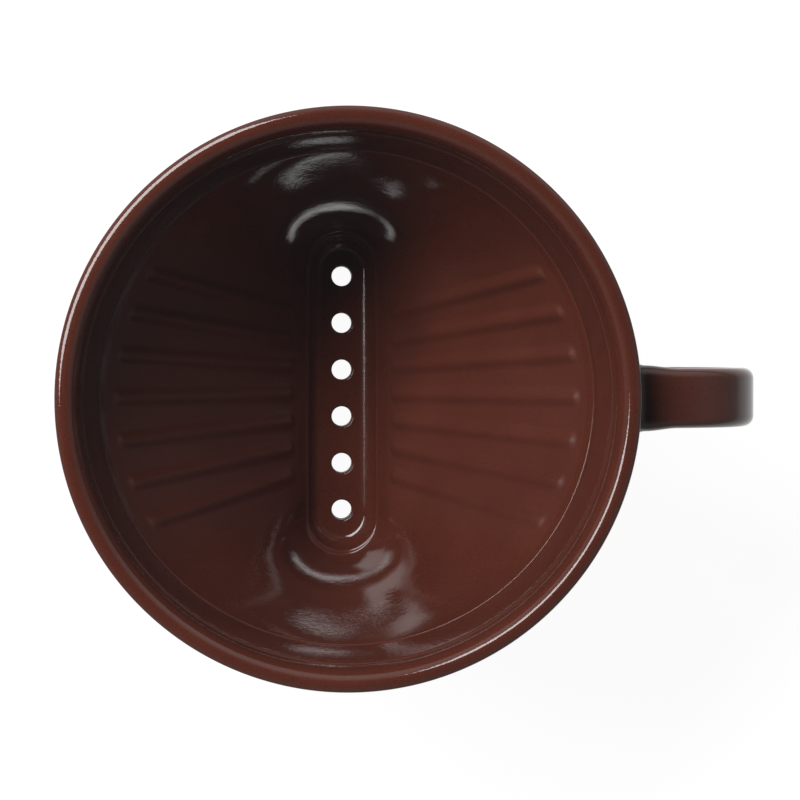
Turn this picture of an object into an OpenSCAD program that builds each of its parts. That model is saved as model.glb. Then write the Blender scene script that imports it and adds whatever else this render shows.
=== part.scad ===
// Wedge-shaped pour-over coffee dripper in glazed stoneware, with a saucer flange, a locating
// ring and an ear handle. Millimetres. The origin is on the axis of the rim, in the plane where
// the flange sits on a cup. +Z is up, the groove runs along Y and the handle points along +X.

/* [Rim] */
// Outer diameter of the rim
rim_d = 120; // [110:1:136]
// Wall of the rim band, rounded over at the lip
rim_wall = 3.8; // [3:0.1:5.5]
// Height of the straight inner wall, from the ledge to the crest of the lip
rim_depth = 20; // [16:0.5:30]
// Width of the flat ledge between the straight wall and the cone
ledge_w = 4.2; // [3:0.1:6]
// Clay under the ledge
ledge_t = 4.5; // [3.5:0.1:7]
// Fillet between the straight wall and the ledge
ledge_fillet = 1.5; // [0.5:0.1:2.5]
// Rounding under the rim band
shoulder_round = 3; // [1:0.1:3.5]

/* [Cone] */
// Height of the cone, from the edge of the groove to the ledge
cone_h = 61.5; // [50:0.5:75]
// Wall of the cone, measured level
cone_wall = 4; // [3:0.1:5]
// Turn, from the middle of a side, over which the straight side of the groove fans out
fan_angle = 52.5; // [46:0.5:60]

/* [Groove] */
// Width of the groove at the bottom of the cone
groove_w = 15.6; // [12:0.1:19]
// Length of the groove, round ends included
groove_len = 72; // [68:1:80]
// Depth of the groove below the cone
groove_depth = 4.5; // [4.5:0.1:8]
// Rounding along the floor of the groove
groove_fillet = 3.6; // [1:0.1:4.2]
// Width of the lip where the cone meets the groove
groove_lip = 0.4; // [0.2:0.1:0.8]
// How far the foot of the cone runs past each end of the groove
groove_run = 1.5; // [0:0.1:2.5]

/* [Drip holes] */
// Number of drip holes
hole_count = 6; // [3:1:6]
// Diameter of a drip hole
hole_d = 4.6; // [3.5:0.1:5.6]
// Distance from one drip hole to the next
hole_pitch = 10.9; // [8:0.1:11.2]
// Chamfer round the mouth of a drip hole
hole_chamfer = 0.5; // [0.2:0.1:0.8]

/* [Ribs] */
// Number of ribs on each side
rib_count = 7; // [3:2:7]
// Turn from one rib to the next at the ledge
rib_step = 10.5; // [8:0.5:12]
// Width of a rib
rib_w = 4.2; // [2:0.1:5]
// Height of a rib above the wall
rib_h = 0.8; // [0.5:0.1:1.4]
// Level distance from the groove to the low end of a rib
rib_low_gap = 3.2; // [2:0.1:8]
// Level distance from the ledge to the high end of a rib
rib_high_gap = 2; // [1:0.1:6]

/* [Foot] */
// Clay outside the groove at the foot
foot_wall = 3.2; // [2:0.1:4]
// Height of the straight foot under the cone
foot_h = 11.5; // [8:0.5:13]
// Floor under the groove
floor_t = 6; // [4:0.1:7]

/* [Saucer flange] */
// Diameter of the saucer flange
saucer_d = 112; // [104:1:130]
// Thickness of its plate
saucer_t = 5; // [4:0.1:7]
// Height of the turned-up edge above the plate
saucer_rise = 3.5; // [2.5:0.1:6]
// Thickness of the turned-up edge
edge_t = 4; // [3:0.1:5]
// Diameter of the flat underside that sits on a cup
rest_d = 96; // [88:1:98]
// Diameter of the flat top, inside the turned-up edge
dish_d = 94; // [90:1:98]
// Depth of the socket that the foot is luted into
socket_depth = 3.5; // [1:0.1:3.5]
// Clearance round the foot in its socket
socket_gap = 0.2; // [0.1:0.05:0.4]
// Clear margin of the outlet round the row of drip holes
outlet_margin = 3.2; // [2:0.1:3.6]

/* [Locating ring] */
// Outer diameter of the ring that drops inside a cup
ring_d = 74; // [72:0.5:84]
// Wall of the ring
ring_wall = 4; // [3:0.1:5]
// Height of the ring
ring_h = 7; // [5:0.5:12]
// Rounding of its lower edges
ring_round = 1; // [0.5:0.1:1.3]

/* [Handle] */
// Reach of the handle beyond the rim
handle_reach = 28; // [24:0.5:34]
// Height of the handle, measured over the strap
handle_h = 46; // [42:1:52]
// Depth from the crest of the lip to the top of the handle
handle_drop = 11.5; // [10:0.5:14]
// Width of the strap
handle_w = 12.6; // [9:0.1:18]
// Thickness of the strap
handle_t = 6; // [4.5:0.1:8]
// Rounding along the edges of the strap
handle_round = 2.3; // [1:0.1:2.8]
// Squareness of the ear, 2 is an ellipse
handle_square = 2.3; // [2:0.1:3]
// Widening of the strap at its roots
root_flare = 0.25; // [0:0.1:0.8]
// Gap left for the slip that joins handle and body
slip_gap = 0.1; // [0.05:0.05:0.3]

/* [Hidden] */
$fn = 96;
glaze = [0.36, 0.19, 0.16];
bisque = [0.62, 0.5, 0.4];
clear = 1;             // how far a cutter runs past the face that it opens
side_cols = 15;        // facets along half a straight side of the cone
end_cols = 24;         // facets round one end of the cone
wall_rings = 8;        // facets up the cone
arc_steps = 8;         // steps in a quarter round
rib_steps = 6;         // steps over the back of a rib
rib_root = 0.8;        // how deep a rib's base lies in the wall
rib_spread = 1;        // turn either side of a rib that gives the slope of the wall there
strap_steps = 44;      // steps along the handle
strap_quarter = 4;     // steps round each edge of the strap
flare_power = 10;      // how sharply the flare dies away from the roots
handle_start = 94;     // turn of the ear where the strap leaves the rim band
handle_end = -158;     // turn of the ear where the strap is inside the cone

rim_r = rim_d / 2;
bore_r = rim_r - rim_wall;
seam_r = bore_r - ledge_w;
lip_round = rim_wall / 2;
groove_r = groove_w / 2;
slot_half = groove_len / 2 - groove_r;
body_half = slot_half + groove_run;
hole_span = (hole_count - 1) * hole_pitch;

saucer_z = saucer_t;
foot_z = saucer_z - socket_depth;
floor_z = foot_z + floor_t;
groove_z = floor_z + groove_depth;
cone_z = foot_z + foot_h;
ledge_z = groove_z + cone_h;
shoulder_z = ledge_z - ledge_t;
crest_z = ledge_z + rim_depth;

ear_z = crest_z - handle_drop - handle_h / 2;
ear_reach = handle_reach - handle_t / 2;
ear_rise = (handle_h - handle_t) / 2;

// ---- plain geometry ----

function mix(a, b, t) = a + (b - a) * t;
function unit(v) = v / norm(v);
function signed_pow(v, p) = sign(v) * pow(abs(v), p);
function polar(r, a) = [r * cos(a), r * sin(a)];

// Points of an arc round centre c, from angle a0 to a1
function arc(c, r, a0, a1, n = arc_steps) = [for (i = [0:n]) c + polar(r, mix(a0, a1, i / n))];

// Middle of a ring of points
function middle(ring, i = 0) =
    i == len(ring) - 1 ? ring[i] / len(ring) : ring[i] / len(ring) + middle(ring, i + 1);

// Closed surface through equal rings of points, each end closed by a fan round its middle
module skin(rings) {
    n = len(rings[0]);
    last = (len(rings) - 1) * n;
    low = len(rings) * n;
    sides = [for (k = [0:len(rings) - 2], i = [0:n - 1], half = [0, 1])
        let (a = k * n + i, b = k * n + (i + 1) % n)
        half == 0 ? [a, a + n, b] : [b, a + n, b + n]];
    caps = [for (i = [0:n - 1], end = [0, 1])
        let (j = (i + 1) % n)
        end == 0 ? [i, j, low] : [last + j, last + i, low + 1]];
    points = concat([for (ring = rings, p = ring) p], [middle(rings[0]), middle(rings[len(rings) - 1])]);
    polyhedron(points, concat(sides, caps));
}

// Flat slot with round ends, r is its half width and s the half length between the end centres
module slot(r, s) {
    square([2 * r, 2 * s], center = true);
    for (side = [-1, 1]) translate([0, side * s]) circle(r);
}

// ---- the ruled wall that runs from a slot below to a circle above ----

// Point of the slot that the ruling at turn a stands on
function slot_point(a, r, s) =
    a < -fan_angle || a >= 180 - fan_angle ? -slot_point(a < 0 ? a + 180 : a - 180, r, s)
    : a <= fan_angle ? [r, s * a / fan_angle]
    : [0, s] + polar(r, 180 * (a - fan_angle) / (180 - 2 * fan_angle));

// Point of the wall at turn a, a share t of the way up. low is [half width, z], high is [radius, z]
function wall_point(a, t, low, high) =
    let (p = mix(slot_point(a, low[0], body_half), polar(high[0], a), t))
    [p[0], p[1], mix(low[1], high[1], t)];

// Turns of the rulings, once round
half_turns = concat(
    [for (i = [-side_cols:side_cols - 1]) fan_angle * i / side_cols],
    [for (i = [0:end_cols - 1]) mix(fan_angle, 180 - fan_angle, i / end_cols)]);
turns = concat(half_turns, [for (a = half_turns) a + 180]);

module ruled_wall(low, high, top) {
    skin([for (k = [0:wall_rings]) [for (a = turns) wall_point(a, top * k / wall_rings, low, high)]]);
}

// ---- filter cone ----

inner_low = [groove_r + groove_lip, groove_z];
inner_high = [seam_r, ledge_z];
outer_low = [groove_r + cone_wall, cone_z];
outer_high = [seam_r + cone_wall, shoulder_z];

// Rim band, lip and ledge, turned in one
module rim_blank() {
    rotate_extrude() polygon(concat(
        [[0, shoulder_z]],
        arc([rim_r - shoulder_round, shoulder_z + shoulder_round], shoulder_round, -90, 0),
        arc([rim_r - lip_round, crest_z - lip_round], lip_round, 0, 180, 2 * arc_steps),
        arc([bore_r - ledge_fillet, ledge_z + ledge_fillet], ledge_fillet, 0, -90),
        [[0, ledge_z]]));
}

// Outside of the cone, a share past the shoulder so that it runs into the rim band
module cone_blank(grow = 0) {
    overrun = 1 + shoulder_round / 2 / (shoulder_z - cone_z);
    ruled_wall(outer_low + [grow, 0], outer_high + [grow, 0], overrun);
}

module foot_blank() {
    translate([0, 0, foot_z]) linear_extrude(foot_h + clear) slot(groove_r + foot_wall, body_half);
}

module cone_cavity() {
    ruled_wall(inner_low, inner_high, 1 + clear / cone_h);
}

// Half section of the groove, from its middle to its wall
groove_half = concat(
    [[0, floor_z]],
    arc([groove_r - groove_fillet, floor_z + groove_fillet], groove_fillet, -90, 0),
    [[groove_r, groove_z + clear], [0, groove_z + clear]]);

module groove() {
    for (side = [0, 180]) rotate(side) {
        rotate([90, 0, 0]) linear_extrude(2 * slot_half, center = true) polygon(groove_half);
        translate([0, slot_half]) rotate_extrude(angle = 180) polygon(groove_half);
    }
}

module drip_hole() {
    translate([0, 0, foot_z - clear]) cylinder(d = hole_d, h = floor_t + 2 * clear);
    translate([0, 0, floor_z - hole_chamfer])
        cylinder(d1 = hole_d, d2 = hole_d + 4 * hole_chamfer, h = 2 * hole_chamfer);
}

// One ring of a rib at turn a, a share t up the wall; size scales it down towards the ends
function rib_ring(a, t, size) =
    let (
        here = wall_point(a, t, inner_low, inner_high),
        along = unit(wall_point(a, 1, inner_low, inner_high) - wall_point(a, 0, inner_low, inner_high)),
        across = unit(wall_point(a + rib_spread, t, inner_low, inner_high)
            - wall_point(a - rib_spread, t, inner_low, inner_high)),
        out = unit(cross(across, along)),
        back = [for (i = [0:rib_steps]) [cos(180 * i / rib_steps), pow(sin(180 * i / rib_steps), 2)]])
    [for (p = concat([[1, -rib_root / rib_h / size]], back, [[-1, -rib_root / rib_h / size]]))
        here + size * (across * p[0] * rib_w / 2 - out * p[1] * rib_h)];

// One rib along the ruling at turn a, with rounded ends
module rib(a) {
    foot = wall_point(a, 0, inner_low, inner_high);
    head = wall_point(a, 1, inner_low, inner_high);
    level = norm([head[0] - foot[0], head[1] - foot[1]]);
    t0 = rib_low_gap / abs(head[0] - foot[0]);
    t1 = 1 - rib_high_gap / level;
    end = rib_w / level;
    skin([for (e = [[t0, 0.3], [t0 + end / 4, 0.66], [t0 + end, 1], [mix(t0, t1, 1 / 3), 1],
        [mix(t0, t1, 2 / 3), 1], [t1 - end, 1], [t1 - end / 4, 0.66], [t1, 0.3]])
        rib_ring(a, e[0], e[1])]);
}

module filter_cone() {
    color(glaze) {
        difference() {
            union() {
                rim_blank();
                cone_blank();
                foot_blank();
            }
            cone_cavity();
            groove();
            for (i = [0:hole_count - 1]) translate([0, i * hole_pitch - hole_span / 2, 0]) drip_hole();
        }
        for (side = [0, 180], i = [0:rib_count - 1]) rib(side + (i - (rib_count - 1) / 2) * rib_step);
    }
}

// ---- handle ----

// Centre line of the ear at turn a, as [x, z]
function ear_point(a) = [
    rim_r + ear_reach * signed_pow(cos(a), 2 / handle_square),
    ear_z + ear_rise * signed_pow(sin(a), 2 / handle_square)];

// Section of the strap: half thickness along out, half width along Y
function strap_section(half_t, half_w) = [
    for (q = [[1, 1, 0], [-1, 1, 90], [-1, -1, 180], [1, -1, 270]], i = [0:strap_quarter])
        [q[0] * (half_t - handle_round), q[1] * (half_w - handle_round)]
        + polar(handle_round, q[2] + 90 * i / strap_quarter)];

function strap_ring(u) =
    let (
        a = mix(handle_start, handle_end, u),
        here = ear_point(a),
        way = unit(ear_point(a - 1) - ear_point(a + 1)),
        grow = 1 + root_flare * pow(abs(2 * u - 1), flare_power))
    [for (p = strap_section(grow * handle_t / 2, grow * handle_w / 2))
        [here[0] - way[1] * p[0], -p[1], here[1] + way[0] * p[0]]];

module handle() {
    color(glaze) difference() {
        skin([for (k = [0:strap_steps]) strap_ring(k / strap_steps)]);
        translate([0, 0, shoulder_z]) cylinder(r = rim_r + slip_gap, h = crest_z - shoulder_z);
        cone_blank(slip_gap);
    }
}

// ---- saucer flange ----

module saucer_flange() {
    edge_r = edge_t / 2;
    edge_c = [saucer_d / 2 - edge_r, saucer_z + saucer_rise - edge_r];
    color(glaze) difference() {
        rotate_extrude() polygon(concat(
            [[0, 0], [rest_d / 2, 0]],
            arc(edge_c, edge_r, -50, 130, 2 * arc_steps),
            [[dish_d / 2, saucer_z], [0, saucer_z]]));
        translate([0, 0, foot_z])
            linear_extrude(socket_depth + clear) slot(groove_r + foot_wall + socket_gap, body_half);
        translate([0, 0, -clear]) linear_extrude(saucer_t + clear)
            slot(hole_d / 2 + outlet_margin, hole_span / 2);
    }
}

// ---- locating ring ----

module locating_ring() {
    outer_r = ring_d / 2;
    inner_r = outer_r - ring_wall;
    edge_z = ring_round - ring_h;
    color(bisque) rotate_extrude() polygon(concat(
        arc([outer_r - ring_round, edge_z], ring_round, 0, -90),
        arc([inner_r + ring_round, edge_z], ring_round, -90, -180),
        [[inner_r, 0], [outer_r, 0]]));
}

filter_cone();
handle();
saucer_flange();
locating_ring();
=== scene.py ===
"""Pour-over dripper in deep red-brown glazed stoneware, seen from above.

The shapes are worked out in millimetres, in the part's own frame, and turned into metres when a
mesh is made. Every surface is a skin over rings of points that share one set of columns, the
turns round the rim's axis. A slot ring follows the groove's outline, a circle ring the rim's.
"""
import math

import bpy
from mathutils import Matrix, Vector


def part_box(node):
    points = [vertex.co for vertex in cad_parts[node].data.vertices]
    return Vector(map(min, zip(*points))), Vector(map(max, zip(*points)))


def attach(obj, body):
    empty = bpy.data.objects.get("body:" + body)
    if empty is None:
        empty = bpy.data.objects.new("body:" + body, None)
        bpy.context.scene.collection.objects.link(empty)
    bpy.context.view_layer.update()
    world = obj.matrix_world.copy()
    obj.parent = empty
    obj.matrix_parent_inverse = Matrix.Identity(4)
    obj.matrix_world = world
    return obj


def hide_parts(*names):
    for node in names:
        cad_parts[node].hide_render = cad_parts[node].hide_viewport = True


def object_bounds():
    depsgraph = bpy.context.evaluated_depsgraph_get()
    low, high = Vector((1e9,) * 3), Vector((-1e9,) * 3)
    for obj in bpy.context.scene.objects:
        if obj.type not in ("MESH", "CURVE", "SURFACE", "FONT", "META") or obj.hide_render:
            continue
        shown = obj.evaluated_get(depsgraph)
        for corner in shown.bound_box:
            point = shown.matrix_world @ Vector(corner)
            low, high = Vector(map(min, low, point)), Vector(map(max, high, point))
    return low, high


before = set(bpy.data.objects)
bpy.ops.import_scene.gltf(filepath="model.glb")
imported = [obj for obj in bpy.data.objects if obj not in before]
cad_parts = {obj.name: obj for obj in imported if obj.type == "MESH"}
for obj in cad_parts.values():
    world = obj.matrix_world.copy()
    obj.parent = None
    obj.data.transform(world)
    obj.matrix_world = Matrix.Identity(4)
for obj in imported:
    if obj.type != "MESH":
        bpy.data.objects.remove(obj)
cad_lo, cad_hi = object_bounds()

MM = 0.001


def box_mm(node):
    low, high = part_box(node)
    return low / MM, high / MM


# ---- sizes in millimetres: outer ones from the frame, the others as in the part ----

cone_low, cone_high = box_mm("filter_cone")
_, saucer_high = box_mm("saucer_flange")
ring_low, ring_high = box_mm("locating_ring")
handle_low, handle_high = box_mm("handle")

RIM_R = cone_high.x
CREST_Z = cone_high.z
RIM_WALL = 3.8
RIM_DEPTH = 20
LEDGE_W = 4.2
LEDGE_T = 4.5
SHOULDER_ROUND = 3.0
BORE_R = RIM_R - RIM_WALL
LIP_R = RIM_R - 1.95
LIP_DROP = 1.0
SEAM_R = BORE_R - LEDGE_W
LEDGE_Z = CREST_Z - RIM_DEPTH
SHOULDER_Z = LEDGE_Z - LEDGE_T
STEP_W = 0.22
CREASE_R = 54.6
CREASE_Z = CREST_Z - 7.2
INNER_LIP_W = LIP_R - CREASE_R - 0.32
INNER_LIP_H = 6.0
SEAM_SOFT = 0.12

CONE_WALL = 4.0
GROOVE_R = 7.8
GROOVE_LIP = 0.4
GROOVE_FILLET = 3.6
GROOVE_DEPTH = 4.5
SLOT_HALF = 28.2
BODY_HALF = SLOT_HALF + 1.5
FAN = 52.5
FOOT_Z = cone_low.z
FOOT_WALL = 3.2
FLOOR_Z = FOOT_Z + 6.0
GROOVE_Z = FLOOR_Z + GROOVE_DEPTH
CONE_Z = FOOT_Z + 11.5

GROOVE_SATIN = 0.4

HOLE_R = 2.3
HOLE_PITCH = 10.9
HOLE_COUNT = 6
HOLE_ROUND = 0.55

RIB_COUNT = 7
RIB_STEP = 10.5
RIB_W = 5.6
RIB_H = 0.7
RIB_LOW_GAP = 2.6
RIB_HIGH_GAP = 2.0

SAUCER_R = saucer_high.y
SAUCER_Z = 5.0
EDGE_R = 2.0
REST_R = 48.0
DISH_R = 46.0
OUTLET_R = 5.5

RING_R = ring_high.y
RING_Z = ring_low.z
RING_WALL = 4.0
RING_ROUND = 1.4

HANDLE_W = 12.6
HANDLE_T = 6.0
HANDLE_ROUND = 2.3
HANDLE_SQUARE = 2.3
EAR_REACH = handle_high.x - RIM_R - HANDLE_T / 2
EAR_RISE = (46.0 - HANDLE_T) / 2
EAR_Z = handle_low.z + 23.0

INNER_LOW = (GROOVE_R + GROOVE_LIP, GROOVE_Z)
INNER_HIGH = (SEAM_R, LEDGE_Z)
SWELL_TURN = 50.0
SWELL = ((0.155, 0.505, -0.072, -0.528),
         (0.329, -1.028, 6.954, -13.001),
         (-10.421, -6.089, 12.095, 18.899))
OUTER_LOW = (GROOVE_R + CONE_WALL, CONE_Z)
OUTER_HIGH = (SEAM_R + CONE_WALL, SHOULDER_Z)


# brightness that mirror rays see: the floor far off, the sky low down, low on the far side, overhead
FAR_FLOOR = 0.34
LOW_SKY = 0.272
FAR_SIDE_SKY = 0.88
OVERHEAD_SHARE = 0.05


# ---- columns and stations ----

class Column:
    """One turn round the axis: where it crosses a circle, and where it leaves the slot."""

    def __init__(self, turn):
        self.turn = turn
        self.cos = math.cos(math.radians(turn))
        self.sin = math.sin(math.radians(turn))
        far = turn >= 180 - FAN
        local = turn - 180 if far else turn
        side = -1 if far else 1
        if local <= FAN:
            out, along = (1.0, 0.0), SLOT_HALF * local / FAN
        else:
            sweep = math.pi * (local - FAN) / (180 - 2 * FAN)
            out, along = (math.cos(sweep), math.sin(sweep)), SLOT_HALF
        self.nx, self.ny, self.by = side * out[0], side * out[1], side * along / SLOT_HALF


def make_columns(side_steps, end_steps):
    half = [FAN * i / side_steps for i in range(-side_steps, side_steps)]
    half += [FAN + (180 - 2 * FAN) * i / end_steps for i in range(end_steps)]
    near = [Column(a) for a in half]
    for a in half:
        column = Column(a)
        column.turn = a + 180
        column.cos, column.sin = -column.cos, -column.sin
        column.nx, column.ny, column.by = -column.nx, -column.ny, -column.by
        near.append(column)
    return near


def circle(r, z):
    return lambda c: Vector((r * c.cos, r * c.sin, z))


def slot(w, z, half=SLOT_HALF):
    return lambda c: Vector((w * c.nx, half * c.by + w * c.ny, z))


def wall(t, low, high):
    foot, head = slot(*low, BODY_HALF), circle(*high)
    return lambda c: foot(c).lerp(head(c), t)


def inner_wall(t):
    """The wall inside the cone. Round the ends it stands out a little from the straight rulings."""
    plain = wall(t, INNER_LOW, INNER_HIGH)
    tau = 2 * t - 1

    def at(c):
        u = (c.turn % 180 - 90) / SWELL_TURN
        if abs(u) >= 1:
            return plain(c)
        form = sum(k * tau ** j * u ** (2 * i) for i, row in enumerate(SWELL) for j, k in enumerate(row))
        out = 4 * t * (1 - t) * (1 - u * u) ** 2 * form
        way = Vector((c.nx, c.ny, 0)).lerp(Vector((c.cos, c.sin, 0)), t).normalized()
        return plain(c) + way * out
    return at


def ease(t):
    t = min(max(t, 0.0), 1.0)
    return t * t * (3 - 2 * t)


def blend(a, b, t):
    return lambda c: a(c).lerp(b(c), t)


def bend(a, corner, b, steps):
    """Stations of a soft corner between stations a and b, both ends included."""
    def at(s):
        return lambda c: a(c) * (1 - s) ** 2 + corner(c) * (2 * s * (1 - s)) + b(c) * s ** 2
    return [at(i / steps) for i in range(steps + 1)]


def arc(kind, centre, r, a0, a1, steps):
    """Stations of a round edge: kind is circle or slot, centre its (radius, z)."""
    made = []
    for i in range(steps + 1):
        a = math.radians(a0 + (a1 - a0) * i / steps)
        made.append(kind(centre[0] + r * math.cos(a), centre[1] + r * math.sin(a)))
    return made


def spread(a, b, steps):
    """Numbers from a to b, without b."""
    return [a + (b - a) * i / steps for i in range(steps)]


# ---- mesh making ----

class Skin:
    """Points and faces of one piece."""

    def __init__(self):
        self.points = []
        self.faces = []
        self.dull = []
        self.satin = {}

    def ring(self, points):
        first = len(self.points)
        self.points.extend(points)
        return list(range(first, first + len(points)))

    def join(self, a, b):
        """Quads between two closed rings of the same length, facing right of the way a to b."""
        n = len(a)
        for i in range(n):
            j = (i + 1) % n
            self.faces.append((a[i], b[i], b[j], a[j]))

    def loft(self, rings, wrap=False):
        for a, b in zip(rings, rings[1:]):
            self.join(a, b)
        if wrap:
            self.join(rings[-1], rings[0])

    def cap(self, ring, flip=False):
        middle = sum((self.points[i] for i in ring), Vector()) / len(ring)
        centre = self.ring([middle])[0]
        for i, j in zip(ring, ring[1:] + ring[:1]):
            self.faces.append((centre, j, i) if flip else (centre, i, j))

    def piece(self, name, node, material):
        mesh = bpy.data.meshes.new(name)
        mesh.from_pydata([tuple(p * MM) for p in self.points], [], self.faces)
        mesh.validate()
        mesh.shade_smooth()
        mesh.materials.append(material)
        satin = mesh.attributes.new("satin", "FLOAT", "POINT")
        for i, much in self.satin.items():
            satin.data[i].value = much
        made = bpy.data.objects.new(name, mesh)
        bpy.context.scene.collection.objects.link(made)
        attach(made, "root")
        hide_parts(node)
        return made


def station_rings(skin, columns, stations):
    return [skin.ring([at(c) for c in columns]) for at in stations]


# ---- filter cone ----

class Ribs:
    """Height of the ribs over the inner wall."""

    def __init__(self):
        turns = [(i - (RIB_COUNT - 1) / 2) * RIB_STEP for i in range(RIB_COUNT)]
        self.lines = []
        for turn in turns:
            column = Column(turn)
            foot, head = inner_wall(0)(column), inner_wall(1)(column)
            level = (head - foot).xy.length
            low = RIB_LOW_GAP / abs(head.x - foot.x)
            high = 1 - RIB_HIGH_GAP / level
            self.lines.append((turn, foot, head, low, high, (head - foot).length))

    def height(self, turn, point, t):
        """Height at a point of the near wall, a share t of the way up."""
        total = 0.0
        for rib_turn, foot, head, low, high, length in self.lines:
            if abs(turn - rib_turn) > RIB_STEP / 2:
                continue
            aside = (point - foot.lerp(head, t)).length
            half = RIB_W / 2
            past = max(half - (t - low) * length, half - (high - t) * length, 0.0)
            reach = math.hypot(aside, past) / half
            if reach < 1:
                total += RIB_H * (1 - reach ** 2) ** 3
        return total


def ribbed_wall(columns, ribs, t):
    """Points of the inner wall, a share t of the way up, raised over the ribs."""
    at = inner_wall(t)
    level = [at(c) for c in columns]
    n = len(columns)
    raised = []
    for i, column in enumerate(columns):
        turn = column.turn if column.turn < 180 - FAN else column.turn - 180
        point = level[i]
        if abs(turn) < RIB_STEP * (RIB_COUNT + 1) / 2:
            near = point if column.turn < 180 - FAN else Vector((-point.x, -point.y, point.z))
            height = ribs.height(turn, near, t)
            if height > 0:
                along = inner_wall(1)(column) - inner_wall(0)(column)
                across = level[(i + 1) % n] - level[i - 1]
                point = point - across.cross(along).normalized() * height
        raised.append(point)
    return raised


def wall_steps():
    """Shares of the way up the inner wall, closest together at the ends of the ribs."""
    return (spread(0.028, 0.05, 5) + spread(0.05, 0.14, 30) + spread(0.14, 0.92, 40)
            + spread(0.92, 0.975, 18) + spread(0.975, 0.988, 3) + [0.988])


def cone_inside():
    """Stations from the floor of the groove to its edge."""
    fillet = arc(slot, (GROOVE_R - GROOVE_FILLET, FLOOR_Z + GROOVE_FILLET), GROOVE_FILLET, -90, -12, 16)
    edge = bend(fillet[-1], slot(GROOVE_R, GROOVE_Z), blend(slot(GROOVE_R, GROOVE_Z),
                inner_wall(0.0), 0.5), 6)[1:]
    step = bend(edge[-1], inner_wall(0.0), inner_wall(0.025), 8)[1:]
    return fillet + edge + step


def ellipse(centre, a, b, a0, a1, steps):
    """Stations of a round edge that is wider or taller than a circle."""
    made = []
    for i in range(steps + 1):
        t = math.radians(a0 + (a1 - a0) * i / steps)
        made.append(circle(centre[0] + a * math.cos(t), centre[1] + b * math.sin(t)))
    return made


def rim_stations():
    """Stations from the crisp seam up the steep collar and over the lip to the shoulder."""
    seam = bend(inner_wall(1 - SEAM_SOFT / 70), circle(SEAM_R, LEDGE_Z),
                circle(SEAM_R + SEAM_SOFT, LEDGE_Z + 0.01), 6)
    step = bend(circle(SEAM_R + STEP_W - 0.1, LEDGE_Z + 0.02), circle(SEAM_R + STEP_W, LEDGE_Z + 0.02),
                circle(SEAM_R + STEP_W + 0.1, LEDGE_Z + 0.5), 5)
    low, high = (SEAM_R + STEP_W + 0.1, LEDGE_Z + 0.5), (CREASE_R - 0.15, CREASE_Z - 0.7)
    collar = [circle(low[0] + (high[0] - low[0]) * (0.876 * t + 0.124 * t * t),
                     low[1] + (high[1] - low[1]) * t) for t in spread(0.06, 1, 12)]
    crease = bend(circle(*high), circle(CREASE_R, CREASE_Z), circle(CREASE_R + 0.2, CREASE_Z + 0.04), 8)
    inside = ellipse((LIP_R, CREST_Z - INNER_LIP_H), INNER_LIP_W, INNER_LIP_H, 178, 90, 28)
    outside = ellipse((LIP_R, CREST_Z - LIP_DROP), RIM_R - LIP_R, LIP_DROP, 90, 0, 16)[1:]
    low_z = SHOULDER_Z + SHOULDER_ROUND
    band = [circle(RIM_R, z) for z in spread(CREST_Z - LIP_DROP - 0.3, low_z + 0.2, 6)]
    shoulder = arc(circle, (RIM_R - SHOULDER_ROUND, low_z), SHOULDER_ROUND, 0, -90, 12)
    return seam + step + collar + crease + inside + outside + band + shoulder


def foot_meet(c):
    """Share of the way up the outer wall, below 0, at which it would meet the face of the foot."""
    run = circle(*OUTER_HIGH)(c) - slot(*OUTER_LOW, BODY_HALF)(c)
    return -(CONE_WALL - FOOT_WALL) / (run.x * c.nx + run.y * c.ny)


def outside_stations():
    """Stations from the shoulder down the outside of the cone to the bottom of the foot."""
    cove = bend(circle(OUTER_HIGH[0] + 1.6, SHOULDER_Z), circle(OUTER_HIGH[0], SHOULDER_Z),
                wall(0.965, OUTER_LOW, OUTER_HIGH), 8)[1:]
    side = [wall(t, OUTER_LOW, OUTER_HIGH) for t in spread(0.96, 0.08, 40)]

    def corner(c):
        low, high = slot(*OUTER_LOW, BODY_HALF)(c), circle(*OUTER_HIGH)(c)
        return low + (high - low) * foot_meet(c)

    foot_w = GROOVE_R + FOOT_WALL
    neck = bend(wall(0.07, OUTER_LOW, OUTER_HIGH), corner, slot(foot_w, CONE_Z - 5.0, BODY_HALF), 12)
    foot = [slot(foot_w, z, BODY_HALF) for z in spread(CONE_Z - 5.2, FOOT_Z + 0.3, 4)]
    heel = [slot(foot_w, FOOT_Z + 0.15, BODY_HALF), slot(foot_w - 0.15, FOOT_Z, BODY_HALF)]
    return cove + side + neck + foot + heel


def split_columns(columns):
    """For each drip hole, the run of columns on the right and on the left of its share of the floor."""
    side = [i for i, c in enumerate(columns) if abs(c.turn) <= FAN]
    half = len(columns) // 2
    mids = [(i - HOLE_COUNT / 2) * HOLE_PITCH for i in range(1, HOLE_COUNT)]
    cuts = [min(side, key=lambda i: abs(columns[i].by * SLOT_HALF - y)) for y in mids]
    return cuts, half


def opposite(i, columns):
    """Column on the other long side of the slot at the same place along it."""
    want = -columns[i].turn + 180
    step = columns[1].turn - columns[0].turn
    return round((want - columns[0].turn - 180) / step) + len(columns) // 2


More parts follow.
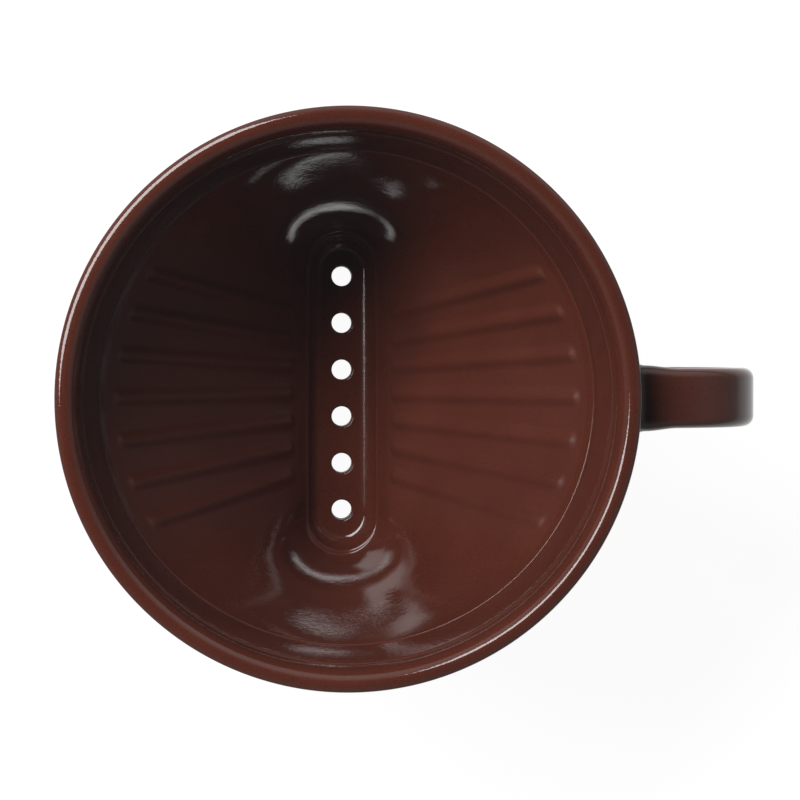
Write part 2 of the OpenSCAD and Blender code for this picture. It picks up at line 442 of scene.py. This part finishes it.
def floor_cells(skin, columns, loop):
    """Closed loops of points, one round each drip hole, that share the crossing lines between them."""
    cuts, half = split_columns(columns)
    n = len(columns)
    lines = []
    for cut in cuts:
        right, left = loop[cut], loop[opposite(cut, columns)]
        a, b = skin.points[right], skin.points[left]
        steps = 24
        between = skin.ring([a.lerp(b, i / steps) for i in range(1, steps)])
        lines.append([right] + between + [left])
    cells = []
    for k in range(HOLE_COUNT):
        low = lines[k - 1] if k > 0 else None
        high = lines[k] if k < HOLE_COUNT - 1 else None
        if low and high:
            right = loop[cuts[k - 1]:cuts[k] + 1]
            left = loop[opposite(cuts[k], columns):opposite(cuts[k - 1], columns) + 1]
            cell = right + high[1:-1] + left + low[-2:0:-1]
        elif high:
            first = opposite(cuts[k], columns)
            right = loop[first:] + loop[:cuts[k] + 1]
            cell = right + high[1:-1]
        else:
            cell = loop[cuts[k - 1]:opposite(cuts[k - 1], columns) + 1] + low[-2:0:-1]
        cells.append(cell)
    return cells


def pierce(skin, top_cell, bottom_cell, y):
    """Floor round one drip hole, its softened mouths and its bore."""
    centre = Vector((0, y, 0))
    mouth_r = HOLE_R + HOLE_ROUND
    aim = []
    for i in top_cell:
        away = (skin.points[i] - centre).xy.normalized()
        aim.append(Vector((away.x, away.y, 0)))

    def round_ring(r, z):
        return skin.ring([centre + way * r + Vector((0, 0, z)) for way in aim])

    def approach(cell, z):
        made = [cell]
        for s in (0.3, 0.6, 0.85, 0.96):
            made.append(skin.ring([
                skin.points[i].lerp(centre + way * mouth_r + Vector((0, 0, z)), s)
                for i, way in zip(cell, aim)]))
        return made

    def mouth(z, way):
        made = []
        for i in range(7):
            a = math.pi / 2 * i / 6
            made.append(round_ring(mouth_r - HOLE_ROUND * math.sin(a),
                                   z - way * HOLE_ROUND * (1 - math.cos(a))))
        return made

    rings = approach(top_cell, FLOOR_Z) + mouth(FLOOR_Z, 1)
    rings += [round_ring(HOLE_R, FLOOR_Z - HOLE_ROUND - 0.3), round_ring(HOLE_R, FOOT_Z + HOLE_ROUND + 0.3)]
    rings += mouth(FOOT_Z, -1)[::-1] + approach(bottom_cell, FOOT_Z)[::-1]
    rings.reverse()
    first = len(skin.faces)
    skin.loft(rings)
    per_ring = len(top_cell)
    skin.dull += range(first + per_ring * 10, first + per_ring * 13)


def off_side(column):
    """Degrees between a column and the middle of the wedge's nearer side wall."""
    return abs((column.turn + 90) % 180 - 90)


def make_cone(material, dull):
    columns = make_columns(150, 120)
    skin = Skin()
    ribs = Ribs()
    rings = station_rings(skin, columns, cone_inside())
    for ring in rings:
        for i, column in zip(ring, columns):
            skin.satin[i] = GROOVE_SATIN * ease((FAN - off_side(column)) / 6)
    for t in wall_steps():
        ring = skin.ring(ribbed_wall(columns, ribs, t))
        rings.append(ring)
        for i, column in zip(ring, columns):
            skin.satin[i] = (ease((50 - off_side(column)) / 14) * ease((t - 0.02) / 0.05)
                             * ease((0.985 - t) / 0.02))
    rings += station_rings(skin, columns, rim_stations() + outside_stations())
    skin.loft(rings)
    tops = floor_cells(skin, columns, rings[0])
    bottoms = floor_cells(skin, columns, rings[-1])
    for k in range(HOLE_COUNT):
        pierce(skin, tops[k], bottoms[k], (k - (HOLE_COUNT - 1) / 2) * HOLE_PITCH)
    made = skin.piece("cone_glazed", "filter_cone", material)
    made.data.materials.append(dull)
    for i in skin.dull:
        made.data.polygons[i].material_index = 1
    return made


# ---- saucer flange ----

def make_saucer(material):
    columns = make_columns(60, 60)
    foot_w = GROOVE_R + FOOT_WALL
    cove = 2.2
    row = HOLE_PITCH * (HOLE_COUNT - 1) / 2
    inner = slot(foot_w + cove, SAUCER_Z, BODY_HALF)
    dish = circle(DISH_R - 4, SAUCER_Z)
    edge_c = (SAUCER_R - EDGE_R, saucer_high.z - EDGE_R)
    stations = [slot(foot_w - 1.0, SAUCER_Z + cove + 0.5, BODY_HALF),
                slot(foot_w - 0.03, SAUCER_Z + cove, BODY_HALF)]
    stations += bend(slot(foot_w - 0.02, SAUCER_Z + cove, BODY_HALF), slot(foot_w, SAUCER_Z, BODY_HALF),
                     inner, 10)[1:]
    stations += [blend(inner, dish, t) for t in spread(0.04, 1, 12)]
    stations += bend(dish, circle(DISH_R + 1.5, SAUCER_Z),
                     circle(edge_c[0] - EDGE_R * 0.8, edge_c[1] + EDGE_R * 0.3), 12)
    stations += arc(circle, edge_c, EDGE_R, 150, -48, 20)
    stations += bend(circle(edge_c[0] + EDGE_R * 0.55, edge_c[1] - EDGE_R * 0.9),
                     circle(REST_R + 1.2, 0.0), circle(REST_R - 3, 0.0), 12)
    stations += [circle(r, 0.0) for r in spread(REST_R - 4, RING_R - RING_WALL - 0.2, 8)]
    outlet = slot(OUTLET_R + 0.8, 0.0, row)
    stations += [blend(circle(RING_R - RING_WALL - 0.2, 0.0), outlet, t) for t in spread(0.04, 1, 8)]
    stations += bend(outlet, slot(OUTLET_R, 0.0, row), slot(OUTLET_R, 0.8, row), 6)
    stations += [slot(OUTLET_R, FOOT_Z + 0.3, row), slot(foot_w - 2, FOOT_Z + 0.6, BODY_HALF)]
    skin = Skin()
    skin.loft(station_rings(skin, columns, stations)[::-1], wrap=True)
    return skin.piece("saucer_glazed", "saucer_flange", material)


# ---- locating ring ----

def make_ring(material, clay):
    columns = make_columns(60, 40)
    inner_r = RING_R - RING_WALL
    cove = 1.2
    low = RING_Z + RING_ROUND
    stations = [circle(RING_R + cove, 0.02)]
    stations += bend(circle(RING_R + cove, -0.01), circle(RING_R, 0), circle(RING_R, -cove), 8)[1:]
    stations += [circle(RING_R, z) for z in spread(-cove - 0.2, low + 0.2, 4)]
    stations += arc(circle, (RING_R - RING_ROUND, low), RING_ROUND, 0, -90, 10)
    stations += arc(circle, (inner_r + RING_ROUND, low), RING_ROUND, -90, -180, 10)
    stations += [circle(inner_r, z) for z in spread(low + 0.2, -cove - 0.2, 4)]
    stations += bend(circle(inner_r, -cove), circle(inner_r, 0), circle(inner_r - cove, -0.01), 8)
    stations += [circle(inner_r - cove, 0.02), circle(inner_r, 0.3), circle(RING_R, 0.3)]
    skin = Skin()
    skin.loft(station_rings(skin, columns, stations), wrap=True)
    made = skin.piece("ring_glazed", "locating_ring", material)
    made.data.materials.append(clay)
    for face in made.data.polygons:
        if face.center.z < (RING_Z + 0.45) * MM:
            face.material_index = 1
    return made


# ---- handle ----

def signed_pow(v, p):
    return math.copysign(abs(v) ** p, v)


def ear_point(turn):
    a = math.radians(turn)
    return Vector((RIM_R + EAR_REACH * signed_pow(math.cos(a), 2 / HANDLE_SQUARE), 0,
                   EAR_Z + EAR_RISE * signed_pow(math.sin(a), 2 / HANDLE_SQUARE)))


def outer_x(y, z):
    """How far out the cone's outside lies at (y, z), on the handle's side."""
    t = (z - OUTER_LOW[1]) / (OUTER_HIGH[1] - OUTER_LOW[1])
    low, high = 0.0, FAN
    for _ in range(40):
        mid = (low + high) / 2
        reach = SLOT_HALF * mid / FAN * (1 - t) + OUTER_HIGH[0] * math.sin(math.radians(mid)) * t
        low, high = (mid, high) if reach < abs(y) else (low, mid)
    return OUTER_LOW[0] * (1 - t) + OUTER_HIGH[0] * math.cos(math.radians(low)) * t


def outside_body(p):
    """Positive outside the rim band and the cone."""
    if p.z > SHOULDER_Z:
        return math.hypot(p.x, p.y) - RIM_R
    return p.x - outer_x(p.y, p.z)


def ear_path(steps):
    """Evenly spaced points of the ear, from the rim band round to the cone, and their directions."""
    fine = [ear_point(100 - 260 * i / 3000) for i in range(3001)]
    free = [p for p in fine if outside_body(p) > 0]
    lengths = [0.0]
    for a, b in zip(free, free[1:]):
        lengths.append(lengths[-1] + (b - a).length)
    points, k = [], 0
    for i in range(steps + 1):
        want = lengths[-1] * i / steps
        while k < len(free) - 2 and lengths[k + 1] < want:
            k += 1
        share = (want - lengths[k]) / (lengths[k + 1] - lengths[k])
        points.append(free[k].lerp(free[k + 1], share))
    ways = []
    for i in range(steps + 1):
        a, b = points[max(i - 2, 0)], points[min(i + 2, steps)]
        ways.append((b - a).normalized())
    return points, ways, lengths[-1]


def strap_outline(quarter):
    """Points round the strap as (out, aside, outline normal), with flat broad faces between the rounded
    corners.
    """
    half_t, half_w = HANDLE_T / 2, HANDLE_W / 2
    made = []
    corners = ((1, 1, 0), (-1, 1, 90), (-1, -1, 180), (1, -1, 270))
    for number, (a, b, turn) in enumerate(corners):
        for i in range(quarter + 1):
            way = math.radians(turn + 90 * i / quarter)
            normal = Vector((math.cos(way), math.sin(way)))
            made.append((Vector((a * (half_t - HANDLE_ROUND), b * (half_w - HANDLE_ROUND)))
                         + normal * HANDLE_ROUND, normal))
        nxt = corners[(number + 1) % 4]
        start = made[-1][0]
        way = math.radians(nxt[2])
        normal = Vector((math.cos(way), math.sin(way)))
        end = Vector((nxt[0] * (half_t - HANDLE_ROUND), nxt[1] * (half_w - HANDLE_ROUND)))
        end += normal * HANDLE_ROUND
        steps = 8 if abs(normal.x) > 0.5 else 3
        for i in range(1, steps):
            made.append((start.lerp(end, i / steps), normal))
    return made


def surface_gap(origin, way):
    """Distance from origin back along -way to the body's outside, negative if origin is inside."""
    low, high = -12.0, 12.0
    for _ in range(40):
        mid = (low + high) / 2
        inside = outside_body(origin - way * mid) < 0
        low, high = (low, mid) if inside else (mid, high)
    return low


def make_handle(material):
    steps, quarter = 170, 8
    points, ways, length = ear_path(steps)
    outline = strap_outline(quarter)
    side = Vector((0, 1, 0))
    fillet, settle = 2.6, 9.0
    ends = [(points[0], ways[0]), (points[-1], -ways[-1])]
    skin = Skin()
    rings = []
    # places along the ear, closest together at the roots
    root_places = [fillet * (1 - math.cos(math.pi / 2 * i / 12)) for i in range(12)]
    root_places += spread(fillet, settle, 10)
    places = root_places + spread(settle, length - settle, 110)
    places += [length - p for p in reversed(root_places + [settle])]
    for place in places:
        share = place / length * steps
        k = min(int(share), steps - 1)
        centre = points[k].lerp(points[k + 1], share - k)
        way = ways[k].lerp(ways[k + 1], share - k).normalized()
        out = Vector((-way.z, 0, way.x))
        near = 0 if place < length / 2 else 1
        gap = place if near == 0 else length - place
        root, root_way = ends[near]
        root_out = Vector((-root_way.z, 0, root_way.x)) * (1 if near == 0 else -1)
        swell = 0.0
        if gap < fillet:
            swell = fillet - math.sqrt(max(fillet ** 2 - (fillet - gap) ** 2, 0))
        rooted = ease((settle - gap) / (settle - fillet))
        flare = 1 + 0.10 * rooted
        ring = []
        for place_2d, normal in outline:
            spot = place_2d * flare + normal * swell
            point = centre + out * spot.x + side * spot.y
            if rooted > 0:
                at_root = root + root_out * spot.x + side * spot.y
                point = point - root_way * (surface_gap(at_root, root_way) * rooted)
            ring.append(point)
        rings.append(skin.ring(ring))
    # both ends run on into the body, where they are closed
    inward = [skin.ring([skin.points[i] - ends[0][1] * 1.2 for i in rings[0]]),
              skin.ring([skin.points[i] - ends[1][1] * 1.2 for i in rings[-1]])]
    rings = [inward[0]] + rings + [inward[1]]
    skin.loft(rings)
    skin.cap(rings[0])
    skin.cap(rings[-1], flip=True)
    return skin.piece("handle_glazed", "handle", material)


# ---- materials ----

def new_material(name):
    made = bpy.data.materials.new(name)
    made.use_nodes = True
    nodes, links = made.node_tree.nodes, made.node_tree.links
    return made, nodes, links, nodes["Principled BSDF"], nodes.new("ShaderNodeTexCoord")


def noise(nodes, links, coords, scale, detail):
    made = nodes.new("ShaderNodeTexNoise")
    made.inputs["Scale"].default_value = scale
    made.inputs["Detail"].default_value = detail
    links.new(coords.outputs["Object"], made.inputs["Vector"])
    return made


def ramp(nodes, links, source, low, high):
    """Colour ramp over a noise, low and high being (position, colour)."""
    made = nodes.new("ShaderNodeValToRGB")
    for element, (position, colour) in zip(made.color_ramp.elements, (low, high)):
        element.position = position
        element.color = (*colour, 1)
    links.new(source.outputs["Fac"], made.inputs["Fac"])
    return made


def multiply(nodes, links, a, b):
    made = nodes.new("ShaderNodeMix")
    made.data_type, made.blend_type = "RGBA", "MULTIPLY"
    made.inputs["Factor"].default_value = 1.0
    links.new(a, made.inputs[6])
    links.new(b, made.inputs[7])
    return made.outputs[2]


def bump(nodes, links, height, strength, distance):
    made = nodes.new("ShaderNodeBump")
    made.inputs["Strength"].default_value = strength
    made.inputs["Distance"].default_value = distance
    links.new(height.outputs["Fac"], made.inputs["Height"])
    return made


def remap(nodes, links, source, start, end):
    """Map Range from the values at start and end, each (from, to)."""
    made = nodes.new("ShaderNodeMapRange")
    made.inputs["From Min"].default_value, made.inputs["To Min"].default_value = start
    made.inputs["From Max"].default_value, made.inputs["To Max"].default_value = end
    links.new(source, made.inputs["Value"])
    return made


def math_node(nodes, links, operation, a, b):
    made = nodes.new("ShaderNodeMath")
    made.operation = operation
    links.new(a, made.inputs[0])
    links.new(b, made.inputs[1])
    return made.outputs[0]


def mix_shaders(nodes, links, factor, plain, chosen):
    """The chosen shader where factor is 1, and the plain one elsewhere."""
    made = nodes.new("ShaderNodeMixShader")
    links.new(factor, made.inputs["Fac"])
    links.new(plain.outputs[0], made.inputs[1])
    links.new(chosen.outputs[0], made.inputs[2])
    return made


def glaze_material():
    """Glassy glaze: soft clouds of tone, fine grain, iron specks, an orange peel, satin side walls, and a
    faint painted glow that lifts its shade.
    """
    made, nodes, links, shader, coords = new_material("red_brown_glaze")
    clouds = ramp(nodes, links, noise(nodes, links, coords, 45, 4),
                  (0.3, (0.096, 0.0212, 0.0118)), (0.75, (0.122, 0.030, 0.0172)))
    grain = ramp(nodes, links, noise(nodes, links, coords, 2300, 3),
                 (0.3, (0.86, 0.84, 0.82)), (0.7, (1.12, 1.14, 1.16)))
    specks = ramp(nodes, links, noise(nodes, links, coords, 1100, 1),
                  (0.22, (0.72, 0.70, 0.70)), (0.30, (1.0, 1.0, 1.0)))
    tone = multiply(nodes, links, clouds.outputs["Color"], grain.outputs["Color"])
    tone = multiply(nodes, links, tone, specks.outputs["Color"])
    links.new(tone, shader.inputs["Base Color"])

    waves = bump(nodes, links, noise(nodes, links, coords, 130, 2), 0.045, 0.001)
    peel = bump(nodes, links, noise(nodes, links, coords, 1300, 3), 0.09, 0.0002)
    links.new(waves.outputs["Normal"], peel.inputs["Normal"])
    links.new(peel.outputs["Normal"], shader.inputs["Normal"])

    satin = nodes.new("ShaderNodeAttribute")
    satin.attribute_name = "satin"
    gloss = remap(nodes, links, satin.outputs["Fac"], (0.0, 0.055), (1.0, 0.4))
    links.new(gloss.outputs["Result"], shader.inputs["Roughness"])
    shader.inputs["IOR"].default_value = 1.5
    # painted light: a faint neutral glow over all of the glaze, which lifts its shadows towards grey
    shader.inputs["Emission Color"].default_value = (1.0, 0.93, 0.97, 1)
    shader.inputs["Emission Strength"].default_value = 0.0056
    return made


def thin_glaze_material():
    """Thin dull glaze inside the drip holes."""
    made, nodes, links, shader, coords = new_material("thin_glaze")
    tones = ramp(nodes, links, noise(nodes, links, coords, 900, 3),
                 (0.3, (0.058, 0.018, 0.013)), (0.7, (0.085, 0.026, 0.019)))
    links.new(tones.outputs["Color"], shader.inputs["Base Color"])
    shader.inputs["Roughness"].default_value = 0.7
    shader.inputs["Specular IOR Level"].default_value = 0.2
    return made


def clay_material():
    """Bare fired clay of the wiped foot, gritty and without gloss."""
    made, nodes, links, shader, coords = new_material("bare_clay")
    body = ramp(nodes, links, noise(nodes, links, coords, 160, 5),
                (0.3, (0.25, 0.125, 0.075)), (0.7, (0.36, 0.20, 0.125)))
    grit = ramp(nodes, links, noise(nodes, links, coords, 1900, 2),
                (0.32, (0.55, 0.5, 0.48)), (0.42, (1.0, 1.0, 1.0)))
    tone = multiply(nodes, links, body.outputs["Color"], grit.outputs["Color"])
    links.new(tone, shader.inputs["Base Color"])
    rough = bump(nodes, links, noise(nodes, links, coords, 2600, 3), 0.5, 0.0002)
    links.new(rough.outputs["Normal"], shader.inputs["Normal"])
    shader.inputs["Roughness"].default_value = 0.85
    shader.inputs["Specular IOR Level"].default_value = 0.3
    return made


def floor_material():
    """White to the camera, with a faint shadow. To mirror rays it fades away from the part."""
    made = bpy.data.materials.new("floor_white")
    made.use_nodes = True
    nodes, links = made.node_tree.nodes, made.node_tree.links
    nodes.clear()
    out = nodes.new("ShaderNodeOutputMaterial")
    diffuse = nodes.new("ShaderNodeBsdfDiffuse")
    diffuse.inputs["Color"].default_value = (0.8, 0.8, 0.8, 1)
    coords = nodes.new("ShaderNodeTexCoord")
    away = nodes.new("ShaderNodeVectorMath")
    away.operation = "LENGTH"
    links.new(coords.outputs["Object"], away.inputs[0])
    fade = remap(nodes, links, away.outputs["Value"], (0.08, 1.0), (0.60, FAR_FLOOR))
    fade.interpolation_type = "SMOOTHSTEP"
    glow = nodes.new("ShaderNodeEmission")
    links.new(fade.outputs["Result"], glow.inputs["Strength"])
    shade = nodes.new("ShaderNodeBsdfDiffuse")
    shade.inputs["Color"].default_value = (0.16, 0.16, 0.16, 1)
    most = nodes.new("ShaderNodeEmission")
    most.inputs["Strength"].default_value = 0.955
    seen = nodes.new("ShaderNodeAddShader")
    links.new(shade.outputs[0], seen.inputs[0])
    links.new(most.outputs[0], seen.inputs[1])
    path = nodes.new("ShaderNodeLightPath")
    mirror = math_node(nodes, links, "MAXIMUM", path.outputs["Is Glossy Ray"],
                       path.outputs["Is Transmission Ray"])
    lit = mix_shaders(nodes, links, mirror, diffuse, glow)
    mix = mix_shaders(nodes, links, path.outputs["Is Camera Ray"], lit, seen)
    links.new(mix.outputs[0], out.inputs["Surface"])
    return made


# ---- stage, light and camera ----

def make_floor():
    half = 3.0
    z = cad_lo.z
    corners = [(-half, -half, z), (half, -half, z), (half, half, z), (-half, half, z)]
    mesh = bpy.data.meshes.new("floor")
    mesh.from_pydata(corners, [], [(0, 1, 2, 3)])
    mesh.materials.append(floor_material())
    floor = bpy.data.objects.new("floor", mesh)
    bpy.context.scene.collection.objects.link(floor)


def make_lamp(name, where, target, size, power):
    light = bpy.data.lights.new(name, "AREA")
    light.shape = "RECTANGLE"
    light.size, light.size_y = size
    light.energy = power
    lamp = bpy.data.objects.new(name, light)
    lamp.location = where
    lamp.rotation_mode = "QUATERNION"
    lamp.rotation_quaternion = (Vector(target) - Vector(where)).to_track_quat("-Z", "Y")
    bpy.context.scene.collection.objects.link(lamp)


def make_lights():
    target = Vector((0, 0, CREST_Z * MM))
    turn, rise = math.radians(141), math.radians(52.5)
    way = Vector((math.cos(rise) * math.cos(turn), math.cos(rise) * math.sin(turn), math.sin(rise)))
    make_lamp("key", target + way * 1.05, target, (0.86, 0.40), 12.6)


def make_world():
    """White sky to the camera, a dim one to mirror rays, and hardly any light on the object."""
    world = bpy.data.worlds.new("studio")
    world.use_nodes = True
    nodes, links = world.node_tree.nodes, world.node_tree.links
    coords = nodes.new("ShaderNodeTexCoord")
    split = nodes.new("ShaderNodeSeparateXYZ")
    links.new(coords.outputs["Generated"], split.inputs["Vector"])
    rise, far = split.outputs["Z"], split.outputs["Y"]
    white = (1, 1, 1, 1)
    ground = nodes["Background"]
    ground.inputs["Color"].default_value = white
    light = remap(nodes, links, rise, (0.08, 0.05), (0.30, 0.002))
    links.new(light.outputs["Result"], ground.inputs["Strength"])
    seen = nodes.new("ShaderNodeBackground")
    seen.inputs["Color"].default_value = white
    seen.inputs["Strength"].default_value = 1.0
    overhead = remap(nodes, links, rise, (0.55, 1.0), (0.95, OVERHEAD_SHARE))
    side = remap(nodes, links, far, (0.30, LOW_SKY), (0.80, FAR_SIDE_SKY))
    sheen = nodes.new("ShaderNodeBackground")
    sheen.inputs["Color"].default_value = white
    links.new(math_node(nodes, links, "MULTIPLY", overhead.outputs["Result"], side.outputs["Result"]),
              sheen.inputs["Strength"])
    path = nodes.new("ShaderNodeLightPath")
    glossy = mix_shaders(nodes, links, path.outputs["Is Glossy Ray"], ground, sheen)
    through = math_node(nodes, links, "MAXIMUM", path.outputs["Is Camera Ray"],
                        path.outputs["Is Transmission Ray"])
    mix = mix_shaders(nodes, links, through, glossy, seen)
    links.new(mix.outputs[0], nodes["World Output"].inputs["Surface"])
    bpy.context.scene.world = world


def make_camera():
    """High over the rim, a little behind and to the left of its axis, so that the groove sits off centre."""
    data = bpy.data.cameras.new("camera")
    data.lens = 132.0
    data.sensor_width = 36.0
    data.clip_start, data.clip_end = 0.01, 20
    camera = bpy.data.objects.new("camera", data)
    camera.location = Vector((-12.2, 11.0, CREST_Z + 598)) * MM
    aim = Vector((10.45, -0.1, CREST_Z - 2)) * MM
    ahead = (aim - camera.location).normalized()
    right = ahead.cross(Vector((0, 1, 0))).normalized()
    turn = Matrix((right, right.cross(ahead), -ahead)).transposed()
    camera.rotation_euler = turn.to_euler()
    bpy.context.scene.collection.objects.link(camera)
    bpy.context.scene.camera = camera


glaze = glaze_material()
make_cone(glaze, thin_glaze_material())
make_saucer(glaze)
make_ring(glaze, clay_material())
make_handle(glaze)
make_floor()
make_lights()
make_world()
make_camera()
bpy.context.scene.view_settings.view_transform = "Standard"
